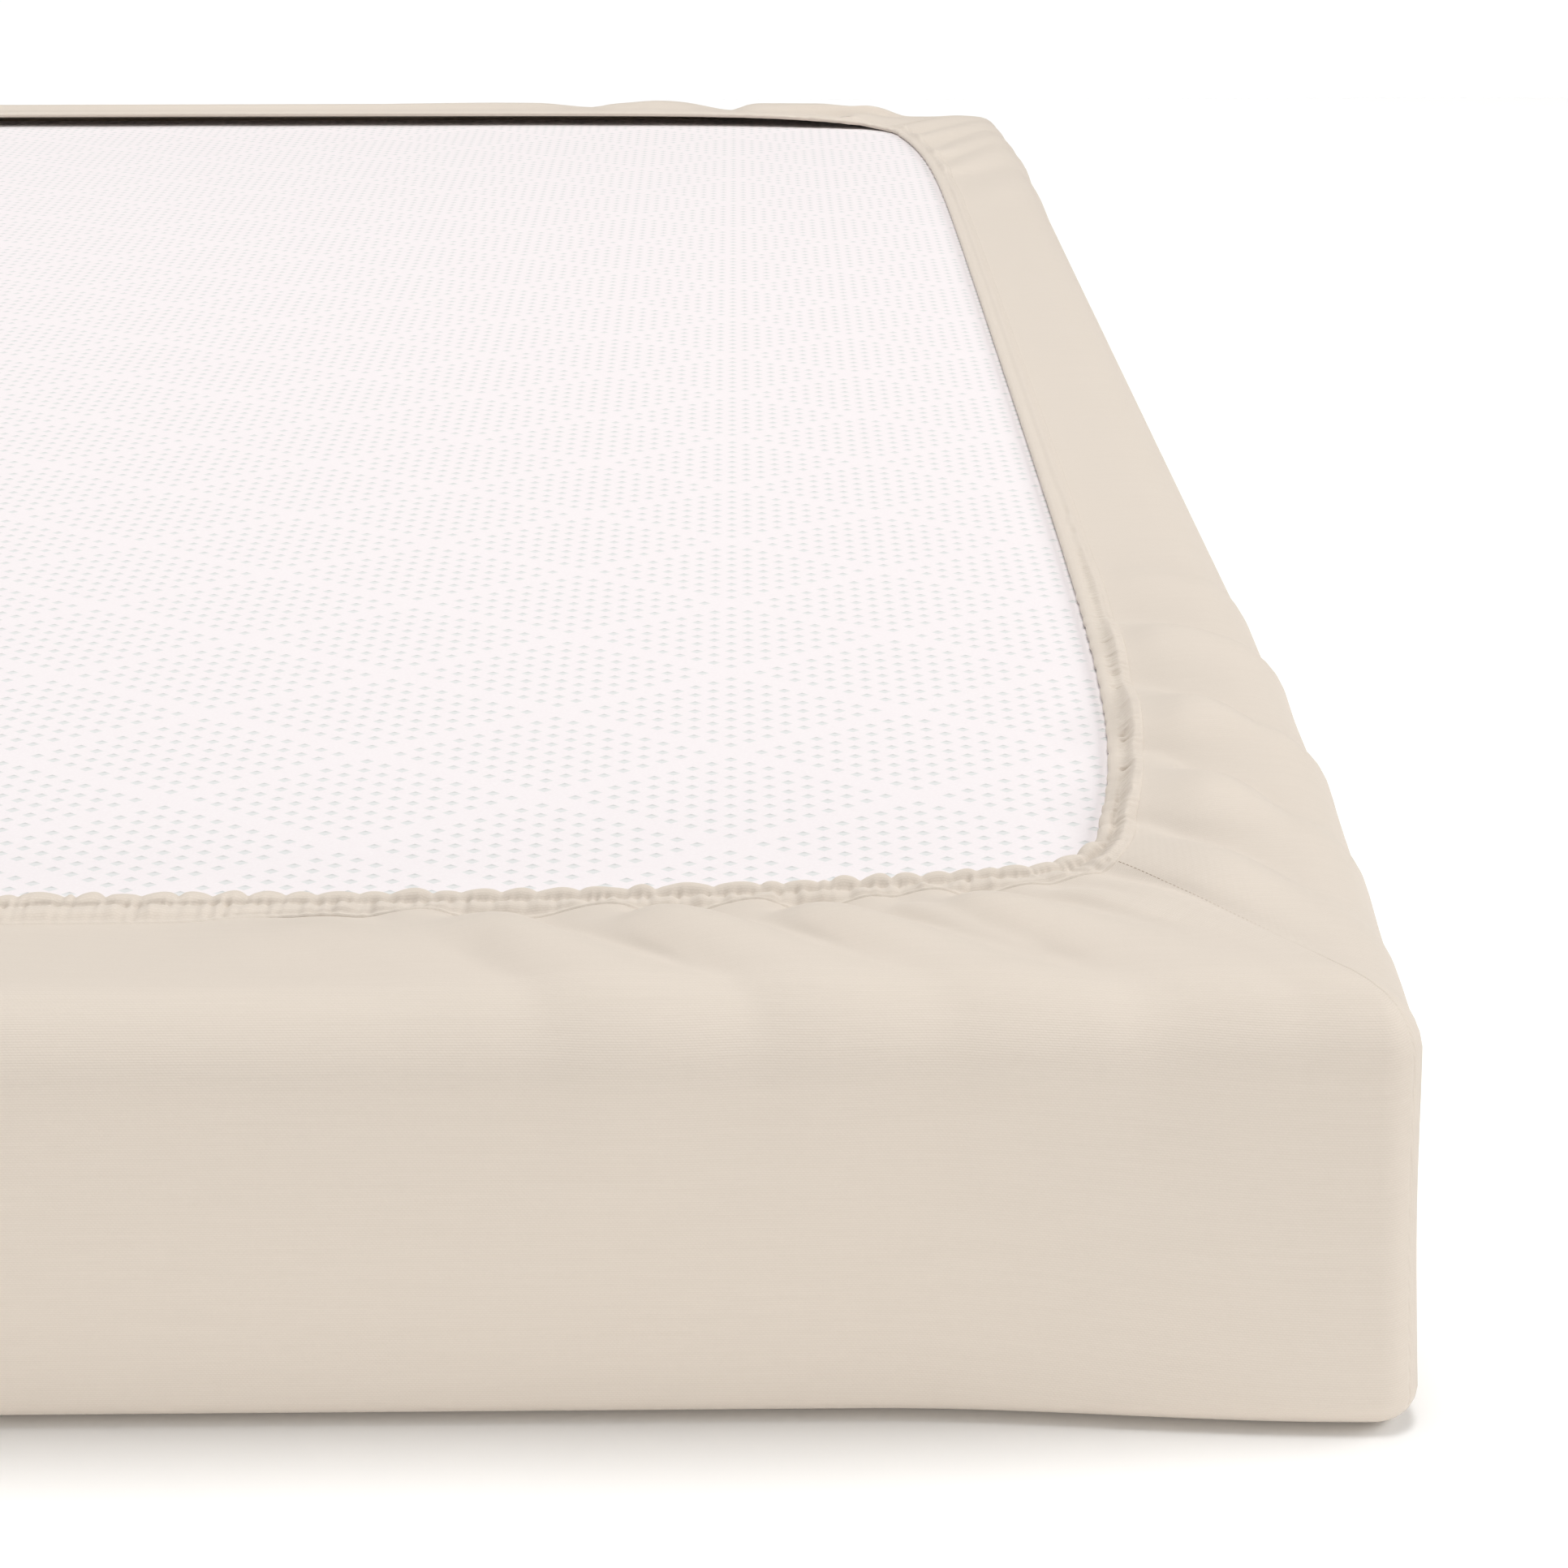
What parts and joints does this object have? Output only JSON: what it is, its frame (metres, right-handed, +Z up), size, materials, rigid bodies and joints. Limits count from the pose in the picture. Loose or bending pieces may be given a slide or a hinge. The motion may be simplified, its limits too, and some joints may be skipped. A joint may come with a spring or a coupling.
{
  "type": "fitted sheet on mattress",
  "caption": "Jersey fitted sheet stretched over a mattress that lies face down, its gathered elastic hem framing the uncovered underside.",
  "frame": {"origin": "under the middle of the mattress, on the floor that it lies on", "axes": "+X across the mattress, +Y along it, +Z up; the mattress lies face down, with the hem's opening on top"},
  "size_m": [1.4236, 2.027, 0.1946],
  "materials": {
    "sheet_jersey": "matt beige knitted jersey",
    "mattress_ticking": "white knitted ticking with small dimples"
  },
  "bodies": {
    "root": {"fitted_sheet": "sheet_jersey", "mattress": "mattress_ticking"}
  },
  "joints": []
}
